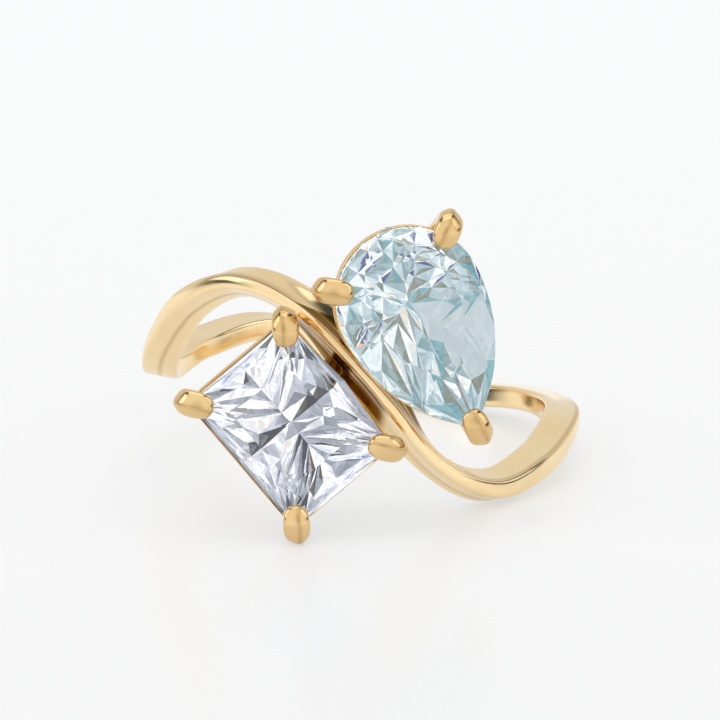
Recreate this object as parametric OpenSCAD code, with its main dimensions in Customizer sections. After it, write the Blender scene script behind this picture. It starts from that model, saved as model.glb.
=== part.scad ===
// Toi et moi ring: one flowing gold band that crosses between a radiant stone and a pear stone.
// The ring's own frame has the finger axis along Z and the two stones in front, towards -Y.
// The finished part is turned into the pose in which the ring lies on a surface.

/* [Finger] */
// Inside diameter of the ring
finger_d = 16.5; // [15:0.1:19]

/* [Band] */
// Thickness of the band at the back, from the finger outwards
band_depth = 1.6; // [1.3:0.05:2]
// Thickness of the band where it crosses between the stones
crossing_depth = 1.85; // [1.5:0.05:2.2]
// Widest part of the band, near the finger
foot_w = 1.4; // [1.2:0.05:1.8]
// Width of the narrow outer face at the shoulders
face_w = 0.85; // [0.6:0.05:1.1]
// How far the band climbs over one shoulder and dips under the other
wave_rise = 4; // [3:0.1:4.4]

/* [Radiant stone] */
// Length of the radiant stone
radiant_l = 7.1; // [6.2:0.1:7.6]
// Width of the radiant stone
radiant_w = 5.5; // [4.8:0.1:5.9]
// Length of each cut corner
radiant_corner = 0.95; // [0.7:0.05:1.3]
// Height of the crown, from the girdle to the table
radiant_crown = 0.95; // [0.7:0.05:1.2]
// Depth of the pavilion, from the girdle to the point
radiant_pavilion = 2.3; // [1.8:0.05:2.5]
// Distance from the finger axis to the girdle
radiant_seat = 11.3; // [11:0.05:11.9]

/* [Pear stone] */
// Length of the pear stone
pear_l = 9.4; // [8.4:0.1:10]
// Width of the pear stone
pear_w = 6.5; // [5.8:0.1:7]
// Height of the crown, from the girdle to the table
pear_crown = 1.1; // [0.8:0.05:1.4]
// Depth of the pavilion, from the girdle to the point
pear_pavilion = 2.6; // [2:0.05:2.8]
// Distance from the finger axis to the girdle
pear_seat = 11.9; // [11.6:0.05:12.4]

/* [Cut] */
// Thickness of the girdle of both stones
girdle_t = 0.16; // [0.1:0.02:0.3]
// Width of the table as a share of the stone's width
table_share = 0.58; // [0.5:0.01:0.66]

/* [Setting] */
// Width of a claw over the stone
claw_w = 1.15; // [1:0.05:1.35]
// Length of a claw, seen from above the stone
claw_l = 1.65; // [1.4:0.05:1.8]
// Height of a claw above the girdle
claw_h = 0.95; // [0.8:0.05:1.1]
// Diameter of the wires that carry the claws
wire_d = 0.8; // [0.7:0.05:0.95]
// How far the gallery rail stands out past the girdle
rail_out = 0.12; // [0.06:0.02:0.2]
// Height of the gallery rail under the girdle
rail_h = 0.7; // [0.5:0.05:0.8]
// Height of the lower rail, near the foot of each cup
lower_rail_h = 0.55; // [0.4:0.05:0.7]
// Gap left all round a stone in its setting
seat_gap = 0.04; // [0.02:0.01:0.08]

/* [Hidden] */

bore_r = finger_d / 2;
bore_reach = 24;

// Places of the two stones on the head: side shift, climb, lean about the finger axis, spin
radiant_place = [-3.33, -1.52, 6, -44.5];
pear_place = [-0.34, 4.3, 14, 123];

// The band, station by station round the finger, 0 degrees in front between the stones.
// RISE is a share of wave_rise, FOOT of foot_w, FACE of face_w. LIFT runs from 0, band_depth,
// to 1, crossing_depth. FLUTE is how far the flanks are hollowed out, as a share.
ANGLE = 0;
RISE = 1;
LIFT = 2;
FOOT = 3;
FACE = 4;
FLUTE = 5;
stations = [
    // angle, rise, lift, foot, face, flute
    [-180, -0.32, 0.00, 0.84, 1.30, 0.00],
    [-150, 0.20, 0.00, 0.72, 1.40, 0.00],
    [-120, 0.00, 0.00, 0.72, 1.30, 0.00],
    [-95, -0.19, 0.10, 0.76, 0.95, 0.00],
    [-75, 0.16, 0.00, 0.85, 0.85, 0.00],
    [-55, 0.72, 0.00, 0.92, 0.90, 0.00],
    [-35, 1.02, 0.10, 0.96, 0.72, 0.00],
    [-15, 0.83, 0.50, 1.20, 0.55, 0.30],
    [5, 0.17, 1.00, 1.55, 0.60, 1.00],
    [25, -0.70, 0.60, 0.88, 0.68, 0.30],
    [45, -0.98, 0.00, 1.04, 0.90, 0.00],
    [65, -0.74, 0.00, 1.04, 1.05, 0.00],
    [85, -0.40, 0.00, 0.94, 0.95, 0.00],
    [105, -0.27, 0.10, 0.78, 0.95, 0.00],
    [132, -0.27, 0.00, 0.72, 1.20, 0.00],
    [168, -0.40, 0.00, 0.84, 1.30, 0.00]
];
station_step = 5;

// Half of the band's outline: share of the depth, then shares of half the foot and half the
// face, added up, and how much of that width the flute takes away
half_section = [
    // depth, foot, face, fluted
    [-0.20, 0.72, 0.00, 0.00],
    [0.09, 0.95, 0.00, 0.00],
    [0.22, 1.00, 0.00, 0.00],
    [0.58, 0.50, 0.52, 0.30],
    [0.93, 0.00, 1.06, 0.00],
    [1.00, 0.00, 0.76, 0.00]
];

// The wire under a claw, from the boss at the foot of the cup up to the girdle. OUT is a share of
// the claw's distance from the middle, UP of the cup's depth, SIZE of wire_d.
OUT = 0;
UP = 1;
SIZE = 2;
wire_rows = [
    // out, up, size
    [0.12, -1.00, 1.00],
    [0.36, -0.97, 1.00],
    [0.66, -0.86, 1.00],
    [0.90, -0.66, 1.00],
    [1.05, -0.36, 1.10]
];

// The claw above it, from the girdle to the tip over the stone. OUT is a share of claw_l past
// the girdle, UP a share of claw_h, SIZE and THICK are shares of claw_w.
THICK = 3;
claw_rows = [
    // out, up, size, thick
    [0.37, 0.00, 0.90, 0.86],
    [0.38, 0.38, 0.99, 0.88],
    [0.30, 0.70, 1.00, 0.80],
    [0.14, 0.88, 1.00, 0.66],
    [-0.04, 0.90, 0.90, 0.54],
    [-0.18, 0.84, 0.66, 0.40],
    [-0.26, 0.78, 0.26, 0.16]
];
wire_sides = 10;

// Turn of the pear's two round-side claws from its long axis, and how far the third stands in
// from the point
pear_claw_turn = 53;
tip_claw_in = 0.3;

// The bridge under both cups, joined to the band
bridge_w = 1.3;
bridge_t = 0.9;
bridge_gap = 0.04;
bridge_steps = 8;
bridge_overrun = 0.3;

// Cups start this far outside the finger hole
cup_floor = 0.8;
rail_gap = 0.1;
rail_t = 0.45;
lower_rail_down = 0.6;
lower_rail_share = 0.94;

// The boss at the foot of each cup, where its wires meet: shares of its radius, and heights
boss_r = 0.95;
boss_rows = [[0.72, -0.48], [1, -0.36], [1, 0.32], [0.74, 0.5]];
boss_sides = 14;

// Claw on which the ring lies, and a first guess of the direction that is up when it lies
low_claw = 2;
first_up = [-0.07, -0.2, 0.98];
settle_rounds = 6;

// Facets round each stone, and how high the star and lower facets reach
radiant_facets = 12;
pear_facets = 16;
star_share = 0.5;
lower_share = 0.6;

// Vectors and tables

function mix(a, b, t) = a + (b - a) * t;

function unit(v) = v / norm(v);

function flatten(lists) = [for (one = lists) for (item = one) item];

// Row i of the station table, wound round the ring
function station(i) =
    let (n = len(stations), k = ((i % n) + n) % n, turns = floor(i / n))
    [for (c = [ANGLE : FLUTE]) stations[k][c] + (c == ANGLE ? 360 * turns : 0)];

function slope_at(i, c) =
    (station(i + 1)[c] - station(i - 1)[c]) / (station(i + 1)[ANGLE] - station(i - 1)[ANGLE]);

function stations_before(angle) = len([for (row = stations) if (row[ANGLE] <= angle) 1]) - 1;

// A value of the station table at any angle, on a smooth curve through its rows
function along(angle, c) =
    let (
        i = stations_before(angle),
        a = station(i),
        b = station(i + 1),
        h = b[ANGLE] - a[ANGLE],
        s = (angle - a[ANGLE]) / h
    )
    (2 * pow(s, 3) - 3 * s * s + 1) * a[c] + (pow(s, 3) - 2 * s * s + s) * h * slope_at(i, c)
    + (3 * s * s - 2 * pow(s, 3)) * b[c] + (pow(s, 3) - s * s) * h * slope_at(i + 1, c);

// Tubes and skins

// Faces of a skin over rings of equal count, with flat ends unless it is closed on itself
function skin_faces(rings, count, closed) = concat(
    [
        for (i = [0 : rings - (closed ? 1 : 2)])
        for (j = [0 : count - 1])
        for (half = [0, 1])
        let (
            a = i * count + j,
            b = i * count + (j + 1) % count,
            c = ((i + 1) % rings) * count + (j + 1) % count,
            d = ((i + 1) % rings) * count + j
        )
        half == 0 ? [a, b, c] : [a, c, d]
    ],
    closed ? [] : [
        [for (j = [count - 1 : -1 : 0]) j],
        [for (j = [0 : count - 1]) (rings - 1) * count + j]
    ]
);

module skin(rings, closed = false) {
    polyhedron(flatten(rings), skin_faces(len(rings), len(rings[0]), closed), convexity = 6);
}

// The band in the ring's own frame

function band_point(angle, r, side) =
    let (
        rise = wave_rise * along(angle, RISE),
        step = 0.5,
        climb = wave_rise * (along(angle + step, RISE) - along(angle - step, RISE)),
        run = 2 * step * PI / 180 * (bore_r + band_depth / 2),
        tangent = unit([run, climb]),
        forward = [cos(angle), sin(angle), 0]
    )
    [r * sin(angle), -r * cos(angle), rise]
    - forward * tangent[1] * side + [0, 0, tangent[0] * side];

function band_depth_at(angle) = mix(band_depth, crossing_depth, along(angle, LIFT));

function band_ring(angle) =
    let (
        deep = band_depth_at(angle),
        foot = along(angle, FOOT) * foot_w / 2,
        face = along(angle, FACE) * face_w / 2,
        flute = along(angle, FLUTE),
        count = len(half_section)
    )
    [
        for (k = [0 : 2 * count - 1])
        let (
            row = half_section[k < count ? k : 2 * count - 1 - k],
            half = (row[1] * foot + row[2] * face) * (1 - flute * row[3])
        )
        band_point(angle, bore_r + row[0] * deep, k < count ? -half : half)
    ];

band_rings = [for (angle = [-180 : station_step : 180 - station_step]) band_ring(angle)];

// Frames of the two settings: origin at the middle of the girdle, then across, along, outwards

function setting(place, seat) =
    let (
        lean = place[2],
        out = [sin(lean), -cos(lean), 0],
        right = [cos(lean), sin(lean), 0],
        up = [0, 0, 1],
        spin = place[3]
    )
    [
        out * seat + right * place[0] + up * place[1],
        right * cos(spin) + up * sin(spin),
        up * cos(spin) - right * sin(spin),
        out
    ];

radiant_setting = setting(radiant_place, radiant_seat);
pear_setting = setting(pear_place, pear_seat);

function in_ring(frame, p) = frame[0] + frame[1] * p.x + frame[2] * p.y + frame[3] * p.z;

// Outlines of the stones, seen from above, counterclockwise

// A point of the radiant's outline: each straight side and cut corner has its share of points
function radiant_outline(i, count, grow = 0) =
    let (
        l = radiant_l / 2 + grow,
        w = radiant_w / 2 + grow,
        cut = radiant_corner / sqrt(2),
        corners = [
            [l, w - cut], [l - cut, w], [cut - l, w], [-l, w - cut],
            [-l, cut - w], [cut - l, -w], [l - cut, -w], [l, cut - w]
        ],
        place = i * len(corners) / count,
        k = floor(place)
    )
    mix(corners[k % 8], corners[(k + 1) % 8], place - k);

// The pear is a round head of width pear_w about the origin, with two long arcs that meet at
// the point
function pear_outline(i, count, grow = 0) =
    let (
        head = pear_w / 2,
        reach = pear_l - head,
        arc_r = (reach * reach + head * head) / (2 * head),
        side_turn = asin(reach / arc_r),
        full = 180 + 2 * side_turn,
        a = -90 - side_turn + full * i / count
    )
    abs(a) <= 90
    ? [(head + grow) * cos(a), (head + grow) * sin(a)]
    : let (lower = a < 0 ? -1 : 1)
      [(arc_r + grow) * cos(a), lower * (head - arc_r) + (arc_r + grow) * sin(a)];

function outline(kind, i, count, grow) =
    kind == "pear" ? pear_outline(i, count, grow) : radiant_outline(i, count, grow);

// Cut stones

// Corner points of a stone: table, star row, girdle top, girdle bottom, lower row, point
function stone_points(kind, facets, crown, pavilion, gap) =
    let (
        n = 2 * facets,
        rim = [for (i = [0 : n - 1]) outline(kind, i, n, gap)],
        girdle = girdle_t / 2 + gap
    )
    concat(
        [for (i = [0 : 2 : n - 1]) concat(rim[i] * table_share, crown + gap)],
        [for (i = [1 : 2 : n - 1]) concat(rim[i] * mix(1, table_share, star_share),
            mix(girdle, crown + gap, star_share * 1.12))],
        [for (p = rim) concat(p, girdle)],
        [for (p = rim) concat(p, -girdle)],
        [for (i = [1 : 2 : n - 1]) concat(rim[i] * (1 - lower_share) * 1.06,
            -mix(girdle, pavilion + gap, lower_share))],
        [[0, 0, -pavilion - gap]]
    );

// Triangles between those rows, n points round the girdle
function stone_faces(n) =
    let (
        half = n / 2,
        star = half,
        top = n,
        bottom = top + n,
        lower = bottom + n,
        tip = lower + half
    )
    concat(
        [[for (i = [half - 1 : -1 : 0]) i]],
        [for (i = [0 : half - 1]) [i, (i + 1) % half, star + i]],
        [for (i = [0 : half - 1]) [i, star + i, top + 2 * i]],
        [for (i = [0 : half - 1]) [i, top + 2 * i, star + (i + half - 1) % half]],
        [for (i = [0 : half - 1]) [star + i, top + 2 * i + 1, top + 2 * i]],
        [for (i = [0 : half - 1]) [star + i, top + (2 * i + 2) % n, top + 2 * i + 1]],
        [for (i = [0 : n - 1]) [top + i, top + (i + 1) % n, bottom + i]],
        [for (i = [0 : n - 1]) [bottom + i, top + (i + 1) % n, bottom + (i + 1) % n]],
        [for (i = [0 : half - 1]) [bottom + 2 * i, bottom + 2 * i + 1, lower + i]],
        [for (i = [0 : half - 1]) [bottom + 2 * i + 1, bottom + (2 * i + 2) % n, lower + i]],
        [for (i = [0 : half - 1]) [bottom + 2 * i, lower + i, lower + (i + half - 1) % half]],
        [for (i = [0 : half - 1]) [lower + i, tip, lower + (i + half - 1) % half]]
    );

function radiant_points(gap) =
    stone_points("radiant", radiant_facets, radiant_crown, radiant_pavilion, gap);

function pear_points(gap) = stone_points("pear", pear_facets, pear_crown, pear_pavilion, gap);

// Claws and the wires under them, each one tube that stands on a corner of its stone

function wire_path(reach, cup) = concat(
    [for (row = wire_rows) [row[OUT] * reach, row[UP] * cup, row[SIZE] * wire_d, wire_d]],
    [for (row = claw_rows)
        [reach + row[OUT] * claw_l, row[UP] * claw_h, row[SIZE] * claw_w, row[THICK] * claw_w]]
);

// The tube, in a frame with x out to the claw, y across it and z up. The sides of each round lie
// across the run of the path at that place.
function claw_rings(reach, cup) =
    let (path = wire_path(reach, cup), last = len(path) - 1)
    [
        for (i = [0 : last])
        let (
            spot = path[i],
            run = path[min(i + 1, last)] - path[max(i - 1, 0)],
            lie = unit([run.y, -run.x])
        )
        [
            for (k = [0 : wire_sides - 1])
            let (a = 360 * (k + 0.5) / wire_sides, d = sin(a) * spot[3] / 2)
            [spot[0] + d * lie.x, cos(a) * spot[2] / 2, spot[1] + d * lie.y]
        ]
    ];

// Corners that hold the claws
radiant_corners = [
    for (sx = [-1, 1])
    for (sy = [-1, 1])
    let (cut = radiant_corner / sqrt(2) / 2)
    [sx * (radiant_l / 2 - cut), sy * (radiant_w / 2 - cut)]
];

pear_corners = [
    for (a = [-pear_claw_turn, pear_claw_turn]) [pear_w / 2 * cos(a), pear_w / 2 * sin(a)],
    [tip_claw_in + pear_w / 2 - pear_l, 0]
];

// Depth of a cup, from the girdle down to its foot close round the finger
function cup_depth(place, seat) =
    seat - sqrt(pow(bore_r + cup_floor, 2) - place[0] * place[0]);

radiant_cup = cup_depth(radiant_place, radiant_seat);
pear_cup = cup_depth(pear_place, pear_seat);

function turned(p, to) = [p.x * to.x - p.y * to.y, p.x * to.y + p.y * to.x, p.z];

// All points of one claw and its wire, in the ring's own frame
function claw_points(frame, corner, cup) =
    [for (p = flatten(claw_rings(norm(corner), cup))) in_ring(frame, turned(p, unit(corner)))];

// Rails round the stones: one under the girdle, one lower down through the wires

// A rail in the frame of its stone: GROW widens the stone's outline, SHARE scales it
function rail_rings(kind, count, first, top, high, grow, share) =
    [
        for (i = [0 : count - 1])
        let (
            outer = outline(kind, i + first, count, grow) * share,
            inner = outer - unit(outer) * rail_t
        )
        [
            concat(inner, top), concat(inner, top - high),
            concat(outer, top - high), concat(outer, top)
        ]
    ];

// The bridge, from under one stone to under the other, close round the finger

function cup_foot(frame, cup) = in_ring(frame, [0, 0, -cup]);

bridge_from = cup_foot(radiant_setting, radiant_cup);
bridge_to = cup_foot(pear_setting, pear_cup);

function around(p) = [atan2(p.x, -p.y), p.z];

function bridge_ring(t) =
    let (
        a = around(bridge_from),
        b = around(bridge_to),
        at = mix(a, b, t),
        run = [(b[0] - a[0]) * PI / 180 * bore_r, b[1] - a[1]],
        side = unit([-run[1], run[0]]),
        half = bridge_w / 2
    )
    [
        for (corner = [[0, 1], [0, -1], [1, -0.7], [1, 0.7]])
        let (
            r = bore_r + bridge_gap + corner[0] * bridge_t,
            shift = side * corner[1] * half,
            angle = at[0] + shift[0] / bore_r * 180 / PI
        )
        [r * sin(angle), -r * cos(angle), at[1] + shift[1]]
    ];

bridge_share = bridge_overrun / norm(bridge_to - bridge_from);
bridge_rings = [
    for (i = [0 : bridge_steps])
        bridge_ring(mix(-bridge_share, 1 + bridge_share, i / bridge_steps))
];

// The ring lies on three places: a claw of the radiant stone, the low shoulder of the band
// and the back of the band

function lowest(points, up) =
    let (low = min([for (p = points) p * up]))
    [for (p = points) if (p * up <= low) p][0];

function band_part(from, to) =
    [for (i = [0 : len(band_rings) - 1])
        let (angle = i * station_step - 180, turned = angle < 0 ? angle + 360 : angle)
        if (turned >= from && turned <= to) each band_rings[i]];

claw_rest = claw_points(radiant_setting, radiant_corners[low_claw], radiant_cup);
shoulder_rest = band_part(20, 90);
back_rest = band_part(130, 215);

// Direction that points up when the ring lies on those places, found in a few rounds
function settle(up, rounds) =
    rounds == 0 ? up
    : let (
        a = lowest(claw_rest, up),
        b = lowest(shoulder_rest, up),
        c = lowest(back_rest, up)
    )
    settle(unit(cross(b - a, c - a)), rounds - 1);

rest_up = settle(first_up, settle_rounds);
rest_right = unit([rest_up.z, 0, -rest_up.x]);
rest_back = cross(rest_up, rest_right);

function lying(p) = [p * rest_right, p * rest_back, p * rest_up];

outer_points = concat(
    [for (corner = radiant_corners) each claw_points(radiant_setting, corner, radiant_cup)],
    [for (corner = pear_corners) each claw_points(pear_setting, corner, pear_cup)],
    [for (p = radiant_points(0)) in_ring(radiant_setting, p)],
    [for (p = pear_points(0)) in_ring(pear_setting, p)],
    flatten(band_rings)
);

lying_points = [for (p = outer_points) lying(p)];
least = [for (c = [0 : 2]) min([for (p = lying_points) p[c]])];
most = [for (c = [0 : 2]) max([for (p = lying_points) p[c]])];
ground = [(least.x + most.x) / 2, (least.y + most.y) / 2, least.z];

// Turns the ring from its own frame into the pose in which it lies
module at_rest() {
    multmatrix([
        concat(rest_right, -ground.x),
        concat(rest_back, -ground.y),
        concat(rest_up, -ground.z)
    ]) children();
}

// Puts what is drawn in the frame of a stone into the ring's own frame
module in_setting(frame) {
    multmatrix([for (c = [0 : 2]) [frame[1][c], frame[2][c], frame[3][c], frame[0][c]]])
        children();
}

module stone(points, facets) {
    polyhedron(points, stone_faces(2 * facets), convexity = 4);
}

// Claws with their wires, both rails and the boss at the foot
module cup(kind, corners, depth, count, first) {
    for (corner = corners)
        rotate([0, 0, atan2(corner.y, corner.x)]) skin(claw_rings(norm(corner), depth));
    skin(rail_rings(kind, count, first, -girdle_t / 2 - rail_gap, rail_h, rail_out, 1),
        closed = true);
    skin(rail_rings(kind, count, first, -lower_rail_down * depth, lower_rail_h, 0,
        lower_rail_share), closed = true);
    translate([0, 0, -depth]) rotate_extrude($fn = boss_sides)
        polygon(concat([[0, boss_rows[0].y]],
            [for (row = boss_rows) [row.x * boss_r, row.y]],
            [[0, boss_rows[len(boss_rows) - 1].y]]));
}

// Round hole for the finger, along the finger axis of the ring at rest
module finger_bore() {
    axis = [rest_right.z, rest_back.z, rest_up.z];
    translate(-ground) rotate([0, acos(axis.z), atan2(axis.y, axis.x)])
        cylinder(r = bore_r, h = bore_reach, center = true);
}

// All the soldered gold, with the finger hole cut last. The resize with zeros changes no size:
// it makes one closed skin of the pieces.
module gold_ring() {
    color("goldenrod") difference() {
        resize([0, 0, 0]) at_rest() difference() {
            union() {
                skin(band_rings, closed = true);
                skin(bridge_rings);
                in_setting(radiant_setting) cup("radiant", radiant_corners, radiant_cup, 8, 0);
                in_setting(pear_setting) cup("pear", pear_corners, pear_cup, 35, 0.3);
            }
            in_setting(radiant_setting) stone(radiant_points(seat_gap), radiant_facets);
            in_setting(pear_setting) stone(pear_points(seat_gap), pear_facets);
        }
        finger_bore();
    }
}

module radiant_stone() {
    color("whitesmoke") at_rest() in_setting(radiant_setting)
        stone(radiant_points(0), radiant_facets);
}

module pear_stone() {
    color("lightblue") at_rest() in_setting(pear_setting) stone(pear_points(0), pear_facets);
}

gold_ring();
radiant_stone();
pear_stone();
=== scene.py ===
"""Dresses the toi et moi ring: polished gold, two cut stones, a pale floor and soft light.

Sizes are millimetres in the ring's own frame, where Z is the finger axis and the stones are
towards -Y. Each finished mesh is moved into the row's frame, in metres, at the end.
"""

import logging
import math
from dataclasses import dataclass, field
from enum import Enum

import bpy
import numpy as np
from mathutils import Matrix, Vector


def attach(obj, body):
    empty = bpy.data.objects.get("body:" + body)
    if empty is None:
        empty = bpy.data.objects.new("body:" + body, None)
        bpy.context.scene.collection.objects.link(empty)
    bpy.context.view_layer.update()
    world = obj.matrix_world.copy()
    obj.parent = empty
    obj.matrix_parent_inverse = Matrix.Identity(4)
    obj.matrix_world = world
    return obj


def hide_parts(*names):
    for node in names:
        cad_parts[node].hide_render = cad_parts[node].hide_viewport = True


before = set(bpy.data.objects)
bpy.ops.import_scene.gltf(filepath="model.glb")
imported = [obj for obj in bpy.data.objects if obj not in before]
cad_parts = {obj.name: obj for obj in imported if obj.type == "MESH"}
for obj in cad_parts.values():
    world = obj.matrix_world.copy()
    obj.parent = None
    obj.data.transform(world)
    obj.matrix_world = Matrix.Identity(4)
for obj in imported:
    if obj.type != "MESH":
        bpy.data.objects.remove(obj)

log = logging.getLogger("ring")

BODY = "root"
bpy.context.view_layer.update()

# Where the ring's own frame lies in the row's frame
RING_ORIGIN_M = Vector((0.000113, 0.001989, 0.00414))
RING_AXIS = Vector((0.106897, 0.186134, 0.976692))
MM = 0.001

# Radius of the finger hole and thickness of both stones' girdles, in millimetres
BORE_R = 8.25
GIRDLE_T = 0.16


class Slot(Enum):
    """Material slots of the record."""

    GOLD = "yellow_gold"
    CLEAR = "clear_stone"
    BLUE = "pale_blue_stone"


def ring_matrix() -> Matrix:
    """Matrix from the ring's own frame, in millimetres, to the row's frame, in metres.

    Returns:
        The matrix.
    """
    z = RING_AXIS.normalized()
    y = z.cross(Vector((1, 0, 0))).normalized()
    x = y.cross(z)
    turn = Matrix((x, y, z)).transposed().to_4x4()
    return Matrix.Translation(RING_ORIGIN_M) @ turn @ Matrix.Scale(MM, 4)


RING_TO_ROW = ring_matrix()


# Modelling helpers


def start_clean() -> None:
    """Leaves nothing selected, so that an operator acts on the new primitive alone."""
    if bpy.context.mode != "OBJECT":
        bpy.ops.object.mode_set(mode="OBJECT")
    bpy.ops.object.select_all(action="DESELECT")


def edit_all(obj: bpy.types.Object) -> None:
    """Opens a mesh in edit mode with all of it selected.

    Args:
        obj: The mesh.
    """
    bpy.context.view_layer.objects.active = obj
    bpy.ops.object.mode_set(mode="EDIT")
    bpy.ops.mesh.select_all(action="SELECT")


def edit_faces(obj: bpy.types.Object) -> None:
    """Opens a mesh in edit mode with the faces selected that were marked in object mode.

    Args:
        obj: The mesh.
    """
    bpy.context.view_layer.objects.active = obj
    bpy.ops.object.mode_set(mode="EDIT")
    bpy.ops.mesh.select_mode(type="FACE")


def lay_vertices(obj: bpy.types.Object, points: np.ndarray) -> None:
    """Puts the vertices of a primitive at these points, in the order of the primitive."""
    obj.data.vertices.foreach_set("co", np.asarray(points, np.float32).ravel())
    obj.data.update()


def ease(low: float, high: float, value: float) -> float:
    """A smooth step from 0 at the first bound to 1 at the second."""
    share = min(1.0, max(0.0, (value - low) / (high - low)))
    return share * share * (3 - 2 * share)


def apply_modifier(obj: bpy.types.Object, kind: str, **settings: object) -> None:
    """Adds a modifier with these settings and applies it.

    Args:
        obj: The mesh that gets it.
        kind: The modifier's type.
        **settings: Its properties.
    """
    bpy.context.view_layer.objects.active = obj
    modifier = obj.modifiers.new(kind.title(), kind)
    for key, value in settings.items():
        setattr(modifier, key, value)
    bpy.ops.object.modifier_apply(modifier=modifier.name)


def smooth_surface(obj: bpy.types.Object, levels: int) -> None:
    """Subdivides a mesh into a smooth surface and shades it smooth.

    Args:
        obj: The mesh.
        levels: Levels of subdivision, the same in the view and the render.
    """
    apply_modifier(obj, "SUBSURF", levels=levels, render_levels=levels)
    bpy.ops.object.select_all(action="DESELECT")
    obj.select_set(True)
    bpy.ops.object.shade_smooth()


def closed_sweep(name: str, rings: np.ndarray, levels: int) -> bpy.types.Object:
    """A torus whose rings are laid on these, one after another, and closed on itself.

    Args:
        name: Name of the piece.
        rings: Points as an array of rounds, points in a round, and 3.
        levels: Levels of subdivision.

    Returns:
        The finished mesh, still in the frame of its points.
    """
    start_clean()
    rounds, sides = rings.shape[:2]
    bpy.ops.mesh.primitive_torus_add(
        major_segments=rounds, minor_segments=sides, major_radius=10, minor_radius=1
    )
    obj = bpy.context.object
    obj.name = name
    lay_vertices(obj, rings.reshape(-1, 3))
    edit_all(obj)
    bpy.ops.mesh.normals_make_consistent(inside=False)
    bpy.ops.object.mode_set(mode="OBJECT")
    smooth_surface(obj, levels)
    return obj


def open_sweep(name: str, rings: np.ndarray, levels: int) -> bpy.types.Object:
    """A grid laid on these rings as a tube with capped, rounded ends.

    Args:
        name: Name of the piece.
        rings: Points as an array of rounds, points in a round, and 3.
        levels: Levels of subdivision.

    Returns:
        The finished mesh, still in the frame of its points.
    """
    start_clean()
    rounds, sides = rings.shape[:2]
    bpy.ops.mesh.primitive_grid_add(x_subdivisions=sides, y_subdivisions=rounds - 1)
    obj = bpy.context.object
    obj.name = name
    lay_vertices(obj, np.concatenate([rings, rings[:, :1]], axis=1).reshape(-1, 3))
    edit_all(obj)
    bpy.ops.mesh.remove_doubles(threshold=1e-5)
    bpy.ops.mesh.select_all(action="DESELECT")
    bpy.ops.mesh.select_non_manifold()
    bpy.ops.mesh.fill_holes(sides=0)
    bpy.ops.mesh.select_all(action="SELECT")
    bpy.ops.mesh.normals_make_consistent(inside=False)
    bpy.ops.object.mode_set(mode="OBJECT")
    smooth_surface(obj, levels)
    return obj


def finish_piece(
    obj: bpy.types.Object,
    materials: list[bpy.types.Material],
    node: str,
    place: Matrix = Matrix.Identity(4),
) -> bpy.types.Object:
    """Moves a mesh from the frame it was made in to the row's frame, and hands it to the frame.

    Args:
        obj: The finished mesh.
        materials: Its finishes, in the order of the faces' material numbers.
        node: The node that it stands for.
        place: From the mesh's frame to the ring's own frame.

    Returns:
        The same object.
    """
    numbers = np.zeros(len(obj.data.polygons), np.int32)
    obj.data.polygons.foreach_get("material_index", numbers)
    obj.data.transform(RING_TO_ROW @ place)
    obj.data.materials.clear()
    for material in materials:
        obj.data.materials.append(material)
    obj.data.polygons.foreach_set("material_index", numbers)
    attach(obj, BODY)
    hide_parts(node)
    log.info("%s: %d faces", obj.name, len(obj.data.polygons))
    return obj


# Finishes


class Nodes:
    """Adds nodes to a tree from left to right and links them by socket name."""

    def __init__(self, tree: bpy.types.NodeTree) -> None:
        """Keeps the tree."""
        self.tree = tree

    def add(self, kind: str, **inputs: object) -> bpy.types.Node:
        """Adds a node, with values or links for its inputs.

        Args:
            kind: The node's type.
            **inputs: Socket name with underscores for spaces, and a value or an output socket.

        Returns:
            The new node.
        """
        node = self.tree.nodes.new(kind)
        for key, value in inputs.items():
            self.put(node.inputs[key.replace("_", " ")], value)
        return node

    def put(self, socket: bpy.types.NodeSocket, value: object) -> None:
        """Links an output socket to a socket, or sets the socket's value.

        Args:
            socket: The input socket.
            value: An output socket, or a value of the input's own kind.
        """
        if isinstance(value, bpy.types.NodeSocket):
            self.tree.links.new(value, socket)
        else:
            socket.default_value = value

    def ramp(self, fac: bpy.types.NodeSocket, *stops: tuple) -> bpy.types.NodeSocket:
        """A colour ramp through (position, colour) stops, and its colour output.

        Args:
            fac: The number that runs along the ramp.
            *stops: Positions from 0 to 1, each with its colour.

        Returns:
            The ramp's colour output.
        """
        node = self.add("ShaderNodeValToRGB", Fac=fac)
        band = node.color_ramp
        while len(band.elements) < len(stops):
            band.elements.new(0.5)
        for element, (position, colour) in zip(band.elements, stops):
            element.position = position
            element.color = (*colour, 1)
        return node.outputs["Color"]

    def math(self, kind: str, first: object, second: object) -> bpy.types.NodeSocket:
        """A sum, difference or product of two values.

        Args:
            kind: The operation.
            first: A number or an output socket.
            second: A number or an output socket.

        Returns:
            The result's output socket.
        """
        node = self.tree.nodes.new("ShaderNodeMath")
        node.operation = kind
        self.put(node.inputs[0], first)
        self.put(node.inputs[1], second)
        return node.outputs[0]

    def attribute(self, name: str) -> bpy.types.NodeSocket:
        """A number that the mesh carries under a name, 0 where it has none.

        Args:
            name: Name of the mesh's attribute.

        Returns:
            The number's output socket.
        """
        node = self.tree.nodes.new("ShaderNodeAttribute")
        node.attribute_name = name
        return node.outputs["Fac"]

    def mix(self, share: object, below: object, above: object) -> bpy.types.NodeSocket:
        """Two colours mixed by a share of the second.

        Args:
            share: Share of the second, from 0 to 1, or an output socket.
            below: First colour, or an output socket.
            above: Second colour, or an output socket.

        Returns:
            The mixed colour's output socket.
        """
        node = self.tree.nodes.new("ShaderNodeMix")
        node.data_type = "RGBA"
        self.put(node.inputs[0], share)
        for socket, colour in ((node.inputs[6], below), (node.inputs[7], above)):
            self.put(socket, (*colour, 1) if isinstance(colour, tuple) else colour)
        return node.outputs[2]


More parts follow.
